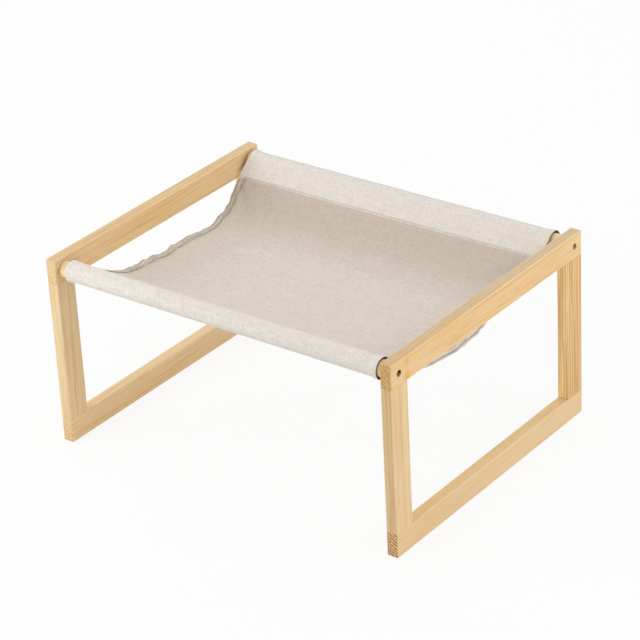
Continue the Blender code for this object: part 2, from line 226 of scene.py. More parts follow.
# How each length of pine was sawn. pith is the middle of the tree from the middle of the piece,
# across its wide side and its thin side, and drift is how that moves for each metre of grain.
# figure, streak and end_figure are the strength of the rings and the fine streaks on the faces
# and of the rings on the sawn ends. tone runs from 0 for cream to 1 for amber, and shade darkens
# all of it. end is the colour that the sawn ends are multiplied by, and edge is painted light and
# shade, the colour that the narrow sides are multiplied by for how the light falls on them.
Board = namedtuple("Board", "pith drift ring figure streak end_figure tone shade end edge marks")
POST_END = (0.9, 0.82, 0.68)
BOARDS = {
    "right_top_rail": Board(
        (-0.03, -0.03), (0.02, 0.03), 0.0031, 0.34, 0.34, 0.45, 0.7, 0.99,
        (0.89, 0.79, 0.56), (0.84, 0.88, 1.0),
        (
            Mark(-0.16, 0.008, 0.004, 0.005, 0.0012, 1.1),
            Mark(-0.16, -0.01, 0.006, 0.006, 0.0012, 1.5),
            Mark(-0.068, -0.008, 0.012, 0.004, 0.008, 0.7),
            Mark(-0.05, 0.0, 0.011, 0.004, 0.008, 0.7),
            Mark(-0.034, 0.006, 0.01, 0.003, 0.004, 0.5),
            Mark(0.085, -0.004, 0.024, 0.004, 0.011, 0.6),
            Mark(0.12, 0.003, 0.018, 0.003, 0.006, 0.6),
            # A long dark line just under the arris of the top and outer faces, painted shade
            Mark(0.08, 0.0118, 0.15, 0.001, 0.0, 1.6),
        ),
    ),
    "right_bottom_rail": Board(
        (-0.056, -0.032), (0.01, 0.02), 0.0037, 0.1, 0.12, 1.7, 0.4, 0.93,
        (1.26, 1.18, 1.0), (1.02, 1.02, 0.97),
        (Mark(0.12, 0.03, 0.016, 0.01, 0.007, 0.3),),
    ),
    "left_top_rail": Board(
        (0.034, -0.03), (0.02, 0.03), 0.0032, 0.36, 0.4, 0.22, 0.68, 0.97,
        (1.03, 1.13, 1.25), (0.9, 0.92, 0.97),
        (Mark(0.06, -0.018, 0.03, 0.006, 0.005, 0.4),),
    ),
    "left_bottom_rail": Board(
        (0.055, -0.045), (0.03, 0.02), 0.0034, 0.28, 0.4, 0.22, 0.44, 0.98,
        (1.01, 0.98, 0.99), WHITE,
        (Mark(-0.06, 0.024, 0.016, 0.01, 0.006, 0.3),),
    ),
    "right_front_post": Board(
        (0.062, -0.052), (0.02, 0.01), 0.0038, 0.48, 0.42, 0.8, 0.22, 0.96,
        POST_END, (0.87, 0.86, 0.8),
        (Mark(0.02, 0.03, 0.016, 0.01, 0.004, 0.2),),
    ),
    "right_rear_post": Board(
        (0.06, -0.055), (0.01, 0.01), 0.0027, 2.6, 1.0, 0.9, 0.8, 1.02,
        POST_END, (1.3, 1.44, 1.56),
        (Mark(0.06, -0.01, 0.12, 0.0022, 0.0, 1.0),),
    ),
    "left_front_post": Board(
        (-0.07, -0.05), (0.02, 0.01), 0.0038, 0.38, 0.4, 0.8, 0.3, 0.95,
        POST_END, (0.98, 1.0, 0.99),
        (Mark(0.03, -0.028, 0.016, 0.01, 0.004, 0.2),),
    ),
    "left_rear_post": Board(
        (0.06, -0.045), (0.02, 0.02), 0.0036, 0.5, 0.45, 0.8, 0.3, 1.0,
        POST_END, WHITE,
        (Mark(-0.02, 0.03, 0.016, 0.01, 0.004, 0.2),),
    ),
}
PIN_BOARD = Board(
    (0.05, 0.04), (0.0, 0.0), 0.002, 0.4, 0.3, 0.9, 0.6, 0.95,
    POST_END, WHITE, (),
)
RAIL_GRAIN = (math.radians(90), 0.0, math.radians(90))
POST_GRAIN = (math.radians(180), math.radians(-90), 0.0)


def shares(count):
    """Even steps from 0 to 1, with both ends."""
    return [index / (count - 1) for index in range(count)]


def deselect():
    bpy.ops.object.select_all(action="DESELECT")


def select_only(thing):
    deselect()
    thing.select_set(True)
    bpy.context.view_layer.objects.active = thing


def add_object(name, data):
    made = bpy.data.objects.new(name, data)
    bpy.context.scene.collection.objects.link(made)
    return made


def bell(distance, reach):
    """1 at no distance, and hardly anything past the reach."""
    return math.exp(-((distance / reach) ** 2))


class Socket:
    """A node's output, so that shader maths can be written as sums."""

    def __init__(self, nodes, output):
        self.nodes = nodes
        self.output = output

    def maths(self, operation, *others):
        return self.nodes.maths(operation, self, *others)

    def __rsub__(self, other):
        return self.nodes.maths("SUBTRACT", other, self)

    __add__ = __radd__ = partialmethod(maths, "ADD")
    __sub__ = partialmethod(maths, "SUBTRACT")
    __mul__ = __rmul__ = partialmethod(maths, "MULTIPLY")
    __truediv__ = partialmethod(maths, "DIVIDE")
    __pow__ = partialmethod(maths, "POWER")
    __abs__ = partialmethod(maths, "ABSOLUTE")
    part = partialmethod(maths, "FRACT")
    whole = partialmethod(maths, "FLOOR")
    sine = partialmethod(maths, "SINE")
    most = partialmethod(maths, "MAXIMUM")

    def step(self, low, high):
        """A smooth rise from 0 at low to 1 at high."""
        settings = {"interpolation_type": "SMOOTHSTEP"}
        values = {"Value": self, "From Min": low, "From Max": high}
        return self.nodes.node("MapRange", settings, values)["Result"]

    def bell(self, reach):
        """1 where the value is 0, and hardly anything past the reach."""
        return (self * self * (-1.0 / reach ** 2)).maths("EXPONENT")


class Nodes:
    """The nodes of a material or of the world."""

    def __init__(self, tree):
        self.tree = tree

    def node(self, kind, settings=None, inputs=None):
        """Adds a node. Its settings are set first, then the values or links of its sockets."""
        made = self.tree.nodes.new("ShaderNode" + kind)
        for name, value in (settings or {}).items():
            if name == "stops":
                self.set_stops(made.color_ramp, value)
            else:
                setattr(made, name, value)
        for name, value in (inputs or {}).items():
            self.put(made.inputs[name], value)
        return {output.name: Socket(self, output) for output in made.outputs if output.enabled}

    def put(self, target, value):
        if isinstance(value, Socket):
            self.tree.links.new(value.output, target)
        elif target.type == "RGBA":
            target.default_value = (*value, 1.0)
        else:
            target.default_value = value

    def maths(self, operation, *values):
        return self.node("Math", {"operation": operation}, dict(enumerate(values)))["Value"]

    def set_stops(self, ramp, stops):
        while len(ramp.elements) < len(stops):
            ramp.elements.new(1.0)
        for element, (place, shade) in zip(ramp.elements, stops):
            element.position = place
            element.color = (shade, shade, shade, 1.0)

    def ramp(self, value, *stops):
        colour = self.node("ValToRGB", {"stops": stops}, {"Fac": value})["Color"]
        return self.node("RGBToBW", None, {"Color": colour})["Val"]

    def mix(self, share, first, second, blend="MIX"):
        """Mixes two colours."""
        settings = {"data_type": "RGBA", "blend_type": blend}
        return self.node("Mix", settings, {0: share, 6: first, 7: second})["Result"]

    def coats(self, colour, *coats):
        """A colour with others mixed over it in turn, each given as its share and itself."""
        for share, coat in coats:
            colour = self.mix(share, colour, coat)
        return colour

    def noise(self, vector, detail=2.0, roughness=0.5):
        values = {"Vector": vector, "Scale": 1.0, "Detail": detail, "Roughness": roughness}
        return self.node("TexNoise", None, values)["Fac"]

    def stretch(self, vector, *scales):
        return self.node("VectorMath", {"operation": "MULTIPLY"}, {0: vector, 1: scales})["Vector"]

    def turned(self, vector, turn, centre=(0.0, 0.0, 0.0)):
        """A vector seen from a centre, with its axes turned."""
        values = {"Vector": vector, "Location": centre, "Rotation": turn}
        return self.node("Mapping", {"vector_type": "TEXTURE"}, values)["Vector"]

    def split(self, vector):
        parts = self.node("SeparateXYZ", None, {0: vector})
        return parts["X"], parts["Y"], parts["Z"]

    def join(self, x, y, z):
        return self.node("CombineXYZ", None, {"X": x, "Y": y, "Z": z})["Vector"]


class Finish(Nodes):
    """A material and the nodes of its surface."""

    def __init__(self, name):
        self.material = bpy.data.materials.new(name)
        self.material.use_nodes = True
        super().__init__(self.material.node_tree)
        self.shader = self.tree.nodes["Principled BSDF"]

    def grit(self, rate, detail=2.0):
        """Fine noise that is the same in all directions."""
        place = self.node("TexCoord")["Object"]
        return self.noise(self.stretch(place, rate, rate, rate), detail=detail)

    def bump(self, height, distance, strength=1.0):
        values = {"Height": height, "Distance": distance, "Strength": strength}
        return self.node("Bump", None, values)["Normal"]

    def surface(self, **values):
        """Sets the surface's sockets, with underscores for the spaces in their names."""
        for name, value in values.items():
            self.put(self.shader.inputs[name.replace("_", " ")], value)
        return self.material


class Pine(Finish):
    """Planed pine, whose growth rings lie round a pith outside the piece.

    The pattern is solid, so the faces show the rings as long lines and arches, and the sawn ends
    show them as arcs. size is the wide side and the thin side of the piece.
    """

    def __init__(self, name, centre, turn, size, board, seed):
        super().__init__("pine_" + name)
        self.size = size
        self.board = board
        self.seed = seed
        place = self.node("TexCoord")
        self.grain = self.turned(place["Object"], turn, centre)
        self.along, self.wide, self.thin = self.split(self.grain)
        facing = self.split(self.turned(place["Normal"], turn))
        self.sawn_end = abs(facing[0]).step(0.6, 0.9)
        # Narrow sides, which take the painted light and shade
        self.painted_light_on_narrow_sides = abs(facing[1]).step(0.6, 0.9)
        self.fibre = self.noise(self.stretch(self.grain, 22.0, 900.0, 900.0))

    def drawn_out(self, along_rate, across_rate, detail=1.0):
        """Noise that is drawn out along the grain."""
        along = self.along * along_rate + self.seed
        place = self.join(along, self.wide * across_rate, self.thin * across_rate)
        return self.noise(place, detail=detail)

    def growth(self):
        """Rings counted from the pith and pushed aside by the marks, and the marks' tint."""
        board = self.board
        bend = self.drawn_out(5.0, 9.0)
        place = self.join(self.along * 26.0, self.wide * 60.0 + self.seed, self.thin * 60.0)
        ripple = self.noise(place)
        side = self.wide - board.pith[0] + self.along * board.drift[0] + bend * 0.009
        back = self.thin - board.pith[1] + self.along * board.drift[1] + ripple * 0.0012
        radius = (side * side + back * back) ** 0.5
        tint = 0.0
        for mark in board.marks:
            near = (self.along - mark.along).bell(mark.reach)
            near = near * (self.wide - mark.wide).bell(mark.spread)
            radius = radius + near * mark.bulge
            tint = near * mark.tint + tint
        return radius / board.ring, tint

    def late_wood(self, rings):
        """How much of each ring is dark late wood, on the faces and on the sawn ends."""
        place = self.join(rings.whole() * 7.31 + self.seed, self.seed, 0.0)
        year = self.noise(place, detail=0.0).step(0.3, 0.7)
        ring = rings.part()
        face = self.ramp(ring, (0.0, 0.0), (0.4, 0.12), (0.8, 0.85), (0.92, 1.0), (1.0, 0.0))
        end = self.ramp(ring, (0.0, 0.0), (0.3, 0.1), (0.55, 1.0), (0.9, 1.0), (1.0, 0.0))
        face = face * (0.12 + year * 0.88) * self.board.figure
        end = end * (0.75 + year * 0.25) * self.board.end_figure
        return face, end

    def planed(self, rings, late_share, tint):
        """Colour of the planed faces."""
        board = self.board
        place = self.join(rings * 0.21, self.along * 2.0 + self.seed, self.seed)
        band = self.noise(place, detail=1.0)
        cloud = self.drawn_out(14.0, 55.0)
        tone = board.tone + (band - 0.5) + 0.9 * (cloud - 0.5)
        late_wood = self.mix(tone, *LATE_WOOD)
        streak = self.drawn_out(7.0, 290.0, detail=3.0).step(0.50, 0.64)
        resin = self.drawn_out(60.0, 1300.0).step(0.66, 0.76)
        wood = self.coats(
            self.mix(tone, *EARLY_WOOD),
            (late_share, late_wood),
            (streak * board.streak * (1.0 - self.sawn_end), late_wood),
            ((self.fibre - 0.42) * 0.9, BRIGHT_FIBRE),
            (resin * 0.30, RESIN),
            (tint * 0.6, KNOT),
        )
        wood = self.mix(1.0, wood, (board.shade, board.shade, board.shade), "MULTIPLY")
        # Painted light and shade on the narrow sides, set by board for how the light falls on them
        return self.mix(self.painted_light_on_narrow_sides, wood, board.edge, "MULTIPLY")

    def sawn(self, wood, end_late):
        """The wood with its sawn ends, which are dull, porous and blotched."""
        pores = self.noise(self.stretch(self.grain, 1100.0, 1100.0, 1100.0), detail=1.0)
        blotch = self.noise(self.stretch(self.grain, 420.0, 420.0, 420.0))
        blotched = min(0.5, self.board.end_figure)
        end = self.coats(
            self.mix(1.0, wood, self.board.end, "MULTIPLY"),
            (end_late * 0.60, END_RING),
            (pores.step(0.54, 0.68) * 0.55, END_PORE),
            (blotch.step(0.50, 0.62) * blotched, END_PORE),
            ((1.0 - blotch.step(0.36, 0.48)) * blotched, END_BRIGHT),
        )
        return self.mix(self.sawn_end, wood, end)

    def worn_and_highlit(self, wood):
        """The wood with its long rims made pale, partly rubbed wear and partly painted highlight on
        the arrises.
        """
        rim_wide = abs(self.wide).step(self.size[0] / 2 - 0.0020, self.size[0] / 2 - 0.0005)
        rim_thin = abs(self.thin).step(self.size[1] / 2 - 0.0020, self.size[1] / 2 - 0.0005)
        return self.mix(rim_wide * rim_thin * (1.0 - self.sawn_end) * 0.35, wood, RIM_WEAR_AND_HIGHLIGHT)

    def hole_light_and_shade(self, wood):
        """The wood with painted shade on the walls of its front screw holes and painted light low
        in the rear ones.
        """
        radius = SCREW_HOLE_RADIUS
        to_hole = abs(self.along) - SCREW_HOLE_PLACE
        to_axis = (to_hole * to_hole + self.wide * self.wide) ** 0.5
        in_hole = 1.0 - to_axis.step(0.98 * radius, 1.06 * radius)
        in_hole = in_hole * (self.size[1] / 2 - abs(self.thin)).step(0.0002, 0.0012)
        low = to_hole * SCREW_HOLE_LOW[0] + self.wide * SCREW_HOLE_LOW[1]
        low = low.step(0.50 * radius, 0.85 * radius)
        rear = self.along.step(0.0, 0.1)
        # Painted shade on the front holes' walls, and painted light on the rear holes' lower walls
        return self.coats(
            wood,
            (in_hole * (1.0 - low * 0.8) * (0.97 - rear * 0.97), HOLE_SHADE),
            (in_hole * low * rear, HOLE_LIGHT),
        )


def pine_finish(name, centre, turn, size, board, seed):
    pine = Pine(name, centre, turn, size, board, seed)
    rings, tint = pine.growth()
    face_late, end_late = pine.late_wood(rings)
    late_share = face_late + (end_late - face_late) * pine.sawn_end
    wood = pine.worn_and_highlit(pine.sawn(pine.planed(rings, late_share, tint), end_late))
    if name.endswith("top_rail"):
        wood = pine.hole_light_and_shade(wood)
    return pine.surface(
        Base_Color=wood,
        Roughness=0.50 + pine.fibre * 0.14 + pine.sawn_end * 0.15,
        Normal=pine.bump(late_share * 0.4 + pine.fibre * 0.6, 0.00014, 0.6),
        Coat_Weight=0.05,
        Coat_Roughness=0.40,
    )


def dowel_finish(name, centre, seed):
    """Turned rod of straight-grained pine with its grain along X."""
    finish = Finish("turned_" + name)
    place = finish.turned(finish.node("TexCoord")["Object"], (0.0, 0.0, 0.0), centre)
    along, across, height = finish.split(place)
    wander = finish.noise(finish.join(along * 8.0 + seed, across * 40.0, height * 40.0), detail=1.0)
    late = ((across * 0.8 + height * 0.35 + wander * 0.003) * 2600.0 + seed).sine() * 0.5 + 0.5
    fibre = finish.noise(finish.stretch(place, 26.0, 900.0, 900.0))
    wood = finish.mix(late * late * 0.30, (0.96, 0.76, 0.44), (0.80, 0.53, 0.22))
    wood = finish.mix((fibre - 0.4) * 0.8, wood, (0.98, 0.84, 0.57))
    return finish.surface(
        Base_Color=wood,
        Roughness=0.52 + fibre * 0.12,
        Normal=finish.bump(fibre, 0.0001, 0.5),
    )


# Places in the sheet's own map, in metres across and along the cloth: its middle across, how far
# from there the hems are folded and stitched, the front seam, the seat's start and end, and the
# places of painted shade on the sleeves.
Lay = namedtuple("Lay", "middle fold rows front_seam seat dulled")


class Canvas(Finish):
    """Unbleached plain-woven cotton with thick and thin yarns, and painted shade over the seat."""

    def __init__(self, lay):
        super().__init__("natural_canvas")
        self.across, self.along, unused = self.split(self.node("TexCoord")["UV"])
        self.lay = lay
        start, end = lay.seat
        # Where the seat lies along the cloth; the seat's painted shade is kept to it
        self.on_seat = self.along.step(start, start + 0.02) * (1.0 - self.along.step(end - 0.004, end))

    def drawn_out(self, across_rate, along_rate, seed, detail=1.0, roughness=0.5):
        place = self.join(self.across * across_rate, self.along * along_rate, seed)
        return self.noise(place, detail, roughness)

    def yarns(self):
        """How high the yarns stand in the weave, and where they are thick."""
        warp = self.across / YARN_PITCH
        weft = self.along / YARN_PITCH
        warp_wave = (warp * math.pi).sine()
        weft_wave = (weft * math.pi).sine()
        over = (warp_wave * weft_wave).step(-0.25, 0.25)
        weave = abs(warp_wave) * over + abs(weft_wave) * (1.0 - over)
        warp_slub = self.noise(self.join(warp.whole() * 3.7, self.along * 75.0, 0.5), detail=1.0)
        weft_slub = self.noise(self.join(self.across * 75.0, weft.whole() * 3.7, 5.5), detail=1.0)
        return weave, warp_slub * over + weft_slub * (1.0 - over)

    def woven(self, weave, slub):
        """Colour of the new cloth."""
        grey = self.drawn_out(210.0, 150.0, 9.0, detail=2.0)
        thick = self.drawn_out(30.0, 420.0, 3.0)
        fleck = self.drawn_out(500.0, 500.0, 2.0)
        cloud = self.drawn_out(24.0, 24.0, 1.0, detail=4.0, roughness=0.6)
        return self.coats(
            self.mix(weave, YARN_DEEP, YARN_HIGH),
            (slub.step(0.35, 0.65) * 0.50, SLUB),
            (grey.step(0.50, 0.68) * 0.26, GREY_YARN),
            (thick.step(0.58, 0.72) * 0.30, THICK_YARN),
            (cloud.step(0.45, 0.70) * 0.16, CANVAS_CLOUD),
            (fleck.step(0.66, 0.74) * 0.5, SEED_FLECK),
            ((1.0 - fleck.step(0.28, 0.35)) * 0.7, WHITE_FLECK),
        )

    def dulled(self, cloth):
        """The cloth with painted shade over the seat, on the strip before the rear seam, and on the
        sleeves.
        """
        end = self.lay.seat[1]
        # Painted shade over the whole seat
        cloth = self.mix(self.on_seat * 0.75, cloth, SEAT_SHADE, "MULTIPLY")
        # Painted shade on the strip of seat just before the rear seam
        rear_strip = self.on_seat * self.along.step(end - 0.11, end - 0.02)
        cloth = self.mix(rear_strip, cloth, REAR_STRIP_SHADE, "MULTIPLY")
        # Painted shade along the rear sleeve's top and low on the front sleeve
        for place, reach, left in self.lay.dulled:
            near = (self.along - place).bell(reach)
            cloth = self.mix(near, cloth, (left, left, left), "MULTIPLY")
        return cloth

    def sewn(self, cloth):
        """The cloth with painted shade beside the seams' folds, along the rows of stitches and the
        hems' folds, and in thin lines along the hems.
        """
        # Painted shadow on the seat beside the front and the rear seam's fold
        front_fold_shadow = (self.along - self.lay.front_seam).bell(0.0016)
        rear_fold_shadow = (self.along - self.lay.seat[1] + 0.0010).bell(0.0010)
        cloth = self.mix((front_fold_shadow + rear_fold_shadow) * 0.6, cloth, SEAM_FOLD_SHADOW)
        sideways = abs(self.across - self.lay.middle)
        # Painted shade along each hem's fold and its rows of stitches, on the seat only
        groove = (sideways - self.lay.fold).bell(ROW_SHADE) * 0.7
        for row in self.lay.rows:
            groove = (sideways - row).bell(ROW_SHADE) + groove
        cloth = self.mix(self.on_seat * groove * 0.85, cloth, ROW_SHADE_COLOUR)
        # Painted shade in thin broken lines along the hems, on the seat only
        place = self.join(sideways * 620.0, self.along * 45.0, 7.0)
        hem_line_shade = self.noise(place, detail=1.0).step(0.50, 0.60)
        in_hem = 1.0 - abs(sideways - self.lay.fold).step(HEM_WIDTH - 0.001, HEM_WIDTH)
        return self.mix(self.on_seat * in_hem * hem_line_shade * 0.50, cloth, HEM_LINE_SHADE)


def canvas_finish(lay):
    canvas = Canvas(lay)
    weave, slub = canvas.yarns()
    return canvas.surface(
        Base_Color=canvas.sewn(canvas.dulled(canvas.woven(weave, slub))),
        Roughness=0.86 + slub * 0.1,
        Normal=canvas.bump(weave * 0.6 + slub * 0.4, 0.00025, 0.8),
        Sheen_Weight=0.10,
        Sheen_Roughness=0.5,
    )


def sleeve_shade_finish():
    """Painted shade on the cloth's inner side round a dowel and on the sleeves' mouths."""
    finish = Finish("sleeve_painted_shade")
    weave = finish.grit(900.0)
    cloth = finish.mix(weave, (0.035, 0.028, 0.022), (0.070, 0.058, 0.046))
    return finish.surface(Base_Color=cloth, Roughness=0.95, Normal=finish.bump(weave, 0.0002, 0.6))


def thread_finish():
    """Cream cotton sewing thread with a fine twist."""
    finish = Finish("sewing_thread")
    twist = finish.grit(2600.0)
    thread = finish.mix(twist, (0.82, 0.775, 0.70), (0.93, 0.90, 0.85))
    return finish.surface(Base_Color=thread, Roughness=0.75, Normal=finish.bump(twist, 0.0001, 0.4))


def zinc_finish():
    """Dulled zinc plate with darker scuffs."""
    finish = Finish("zinc_plate")
    cloud = finish.grit(700.0, detail=3.0)
    place = finish.node("TexCoord")["Object"]
    scuff = finish.noise(finish.stretch(place, 300.0, 2200.0, 2200.0))
    metal = finish.mix(cloud, (0.13, 0.115, 0.095), (0.26, 0.24, 0.21))
    metal = finish.mix(scuff.step(0.6, 0.75) * 0.5, metal, (0.08, 0.07, 0.06))
    return finish.surface(
        Base_Color=metal,
        Metallic=1.0,
        Roughness=0.32 + cloud * 0.22,
        Normal=finish.bump(scuff, 0.00005, 0.5),
    )


def glue_finish():
    """Dried wood glue, clear and slightly amber over the pine."""
    finish = Finish("dried_glue")
    cloud = finish.grit(180.0)
    glue = finish.mix(cloud, (0.74, 0.53, 0.27), (0.58, 0.38, 0.17))
    return finish.surface(Base_Color=glue, Roughness=0.35 + cloud * 0.2)


def node_middle(name):
    low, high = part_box(name)
    return (low + high) / 2


def dress_node(name, finish):
    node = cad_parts[name]
    node.data.materials.clear()
    node.data.materials.append(finish)


def finish_timber():
    """Gives every rail and post its own length of pine."""
    for number, (name, board) in enumerate(BOARDS.items()):
        low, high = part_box(name)
        span = high - low
        is_rail = name.endswith("rail")
        size = (span.z if is_rail else span.y, span.x)
        turn = RAIL_GRAIN if is_rail else POST_GRAIN
        seed = 3.7 * number + 1.3
        dress_node(name, pine_finish(name, node_middle(name), turn, size, board, seed))


def finish_small_parts():
    zinc = zinc_finish()
    pin = pine_finish("pins", (0.0, 0.0, 0.0), POST_GRAIN, (1.0, 1.0), PIN_BOARD, 2.0)
    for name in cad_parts:
        if name.endswith("_screw"):
            dress_node(name, zinc)
        elif "_pin_" in name:
            dress_node(name, pin)
    for name, seed in (("front_dowel", 0.7), ("rear_dowel", -1.1)):
        dress_node(name, dowel_finish(name, node_middle(name), seed))


def edge_value(values, across):
    """The value of the side that a place lies on."""
    return values["left"] if across < 0 else values["right"]


def to_seam(along):
    """Distance of a place on the seat from the nearer seam."""
    return min(along, 1 - along) * SEAM_SPAN


def seat_lift(along, across):
    """Height of the seat above its seams, from the front seam at 0 to the rear seam at 1."""
    edge_sag = edge_value(EDGE_SAG, across)
    sag = edge_sag + (MIDDLE_SAG - edge_sag) * (1 - across ** 2)
    power = MIDDLE_POWER + (edge_value(EDGE_POWER, across) - MIDDLE_POWER) * across ** 2
    return -sag * (1 - abs(2 * along - 1) ** power)


def side_shift(along, across):
    """How far the rear sleeve's lie and the drawn-in edges move the cloth along the dowels."""
    skew = along ** EDGE_SKEW
    return -REAR_SHIFT * skew - WAIST * across ** 3 * math.sin(math.pi * skew) ** 2


class Sling:
    """The canvas sheet: a seat that hangs between two sleeves, each sewn round a dowel.

    The cloth is followed from its turned-in front end, over and round the front dowel, back to
    the seam, along the seat, and the same way round the rear dowel. Across, it runs from the left
    hem to the right hem, each turned once onto the upper side.
    """

    def __init__(self):
        low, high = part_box("sling")
        half_sleeve = (high.x - low.x - REAR_SHIFT) / 2
        self.half_width = half_sleeve - CANVAS / 2
        self.middle_x = high.x - half_sleeve
        self.front = node_middle("front_dowel")
        self.rear = node_middle("rear_dowel")
        self.columns = self.across_path()
        self.place_points()

    def hem_puff(self, distance):
        """How far a hem stands up between its rows of stitches, by the distance from its fold."""
        held = sum(bell(distance - row, GROOVE) for row in HEM_ROWS)
        return PUFF * max(0.0, 1 - held)

    def half_path(self):
        """Places from the middle across to a hem's end: x, layer and puff of the hem."""
        edge = self.half_width
        turn = (LAYER + PUFF) / 2
        half = [(share * (edge - EDGE_BAND), 0.0, 0.0) for share in shares(COLUMNS["seat"])[:-1]]
        for share in shares(COLUMNS["edge"]):
            distance = EDGE_BAND - share * (EDGE_BAND - turn)
            puff = self.hem_puff(distance) if distance < HEM_WIDTH else 0.0
            half.append((edge - distance, 0.0, -PUFF_BELOW * puff))
        for share in shares(COLUMNS["fold"])[1:]:
            angle = share * math.pi
            rise = (1 - math.cos(angle)) / 2
            x = edge - turn + turn * math.sin(angle)
            half.append((x, rise, PUFF * ((1 + PUFF_BELOW) * rise - PUFF_BELOW)))
        for share in shares(COLUMNS["hem"])[1:]:
            distance = turn + share * (HEM_WIDTH - turn)
            half.append((edge - distance, 1.0, self.hem_puff(distance)))
        return half

    def across_path(self):
        """Places from hem to hem: x from the middle, layer, puff of the hem, length of cloth."""
        half = self.half_path()
        places = [(-x, layer, puff) for x, layer, puff in reversed(half[1:])] + half
        columns = []
        length = 0.0
        for index, (x, layer, puff) in enumerate(places):
            if index:
                before = places[index - 1]
                length += math.hypot(x - before[0], (layer - before[1]) * LAYER + puff - before[2])
            columns.append((x, layer, puff, length))
        return columns

    def sleeve_path(self, across, way, centre, reach):
        """Outline in the (y, z) plane from the turned-in end to the start of the seat."""
        from_edge = self.half_width * (1 - abs(across))
        flare = FLARE * max(0.0, 1 - from_edge / FLARE_REACH)
        radius = SLEEVE_BORE + CANVAS / 2 + flare
        seatward = Vector((way * math.cos(SEAM_DIP), -math.sin(SEAM_DIP)))
        upward = Vector((way * math.sin(SEAM_DIP), math.cos(SEAM_DIP)))
        middle = Vector((centre.y, centre.z))
        seam = middle + reach * seatward
        lean = math.asin(radius / reach)
        slope = math.cos(lean) * seatward - math.sin(lean) * upward
        rise = math.sin(lean) * seatward + math.cos(lean) * upward

        def round_dowel(angle):
            return middle + radius * (math.cos(angle) * seatward + math.sin(angle) * upward)

        path = []
        for share in shares(ROWS["turned"]):
            ahead = SEAM_WIDTH - TURN_IN * (1 - share)
            path.append(("turned", seam + slope * ahead + rise * LAYER))
        fold = seam + slope * SEAM_WIDTH + rise * (LAYER + FOLD_ROUND)
        for share in shares(ROWS["fold"])[1:]:
            angle = share * math.pi
            bend = slope * math.sin(angle) - rise * math.cos(angle)
            path.append(("turned", fold + bend * FOLD_ROUND))
        path.append(("stitched", seam + slope * (SEAM_WIDTH - SEAM_ROW) + rise * LAYER * 2))
        top = seam + rise * LAYER * 2
        path.append(("upper", top))
        tilt = math.atan2((top - middle).dot(upward), (top - middle).dot(seatward))
        start = math.acos(radius / (top - middle).length) + tilt
        stop = 1.5 * math.pi + lean
        for share in shares(ROWS["straight"])[1:-1]:
            path.append(("upper", top.lerp(round_dowel(start), share)))
        for share in shares(ROWS["sleeve"]):
            path.append(("sleeve", round_dowel(start + share * (stop - start))))
        for share in shares(ROWS["straight"])[1:-1]:
            path.append(("lower", round_dowel(stop).lerp(seam, share)))
        for share in shares(ROWS["seam"]):
            path.append(("seam", seam + slope * SEAM_WIDTH * share))
        return path

    def column_path(self, across):
        """The whole outline at one place across, as (mark, place along the seat, point)."""
        front_sleeve = self.sleeve_path(across, 1, self.front, SEAM_REACH["front"])
        rear_sleeve = self.sleeve_path(across, -1, self.rear, SEAM_REACH["rear"])
        front = [(mark, 0.0, point) for mark, point in front_sleeve]
        rear = [(mark, 1.0, point) for mark, point in rear_sleeve]
        seat = []
        for along in shares(ROWS["seat"])[1:-1]:
            point = front[-1][2].lerp(rear[-1][2], along)
            seat.append(("seat", along, point + Vector((0.0, seat_lift(along, across)))))
        return front + seat + rear[::-1]

    def fold_height(self, along, across, run):
        """Height of the seat's folds at a place, along the cloth's own normal."""
        side = math.copysign(1.0, across)
        from_edge = self.half_width * (1 - abs(across))
        held = math.sin(math.pi * along)

        turns = edge_value(HEM_WAVES, across) * (along - edge_value(HEM_WAVE_PLACE, across))
        height = edge_value(HEM_WAVE, across) * bell(from_edge, HEM_WAVE_REACH)
        wave = height * held * math.cos(2 * math.pi * turns)
        grip = bell(from_edge, PUCKER_REACH) * min(1.0, held * PUCKER_RISE)
        place = Vector((run * PUCKERS_PER_METRE, edge_value(PUCKER_START, across), 0.4))
        pucker = 2 * PUCKER * grip * noise.noise(place)
        place = Vector((across * self.half_width, run, 0.7)) * SOFT_WAVES_PER_METRE
        soft = SOFT_WAVE * noise.noise(place) * min(1.0, held * SOFT_RISE)

        distance = math.hypot(from_edge, to_seam(along))
        ray = math.cos(CORNER_RAYS * math.atan2(to_seam(along), from_edge) + side)
        fade = bell(distance, CORNER_REACH) * min(1.0, distance / CORNER_START)
        fade *= min(1.0, held * CORNER_RISE)
        return wave + pucker + soft + CORNER_FOLD * fade * ray

    def seam_pucker(self, x, distance):
        """Small puckers that the seam's stitches draw into the cloth beside it."""
        depth = SEAM_PUCKER * bell(distance, SEAM_PUCKER_REACH)
        return 2 * depth * noise.noise(Vector((x * SEAM_PUCKERS_PER_METRE, 3.1, 0.2)))

    def lift(self, mark, along, column, run):
        """How far a point lies from its outline, towards the seat's upper side."""
        x, layer, puff, length = column
        step = layer * LAYER
        if mark == "seat":
            puff *= min(1.0, to_seam(along) / PUFF_END)
            fold = self.fold_height(along, x / self.half_width, run)
            return step + puff + (fold + self.seam_pucker(x, to_seam(along)))
        if mark == "sleeve":
            from_mouth = self.half_width - abs(x)
            rolled = 1 + MOUTH_ROLL * max(0.0, 1 - from_mouth / FLARE_REACH) ** 2
            dent = noise.noise(Vector((x * DENTS_PER_METRE, run * DENTS_PER_METRE, 2.0)))
            return step * rolled - SLEEVE_DENT * max(0.0, dent)
        return step * PRESSED.get(mark, 1.0)

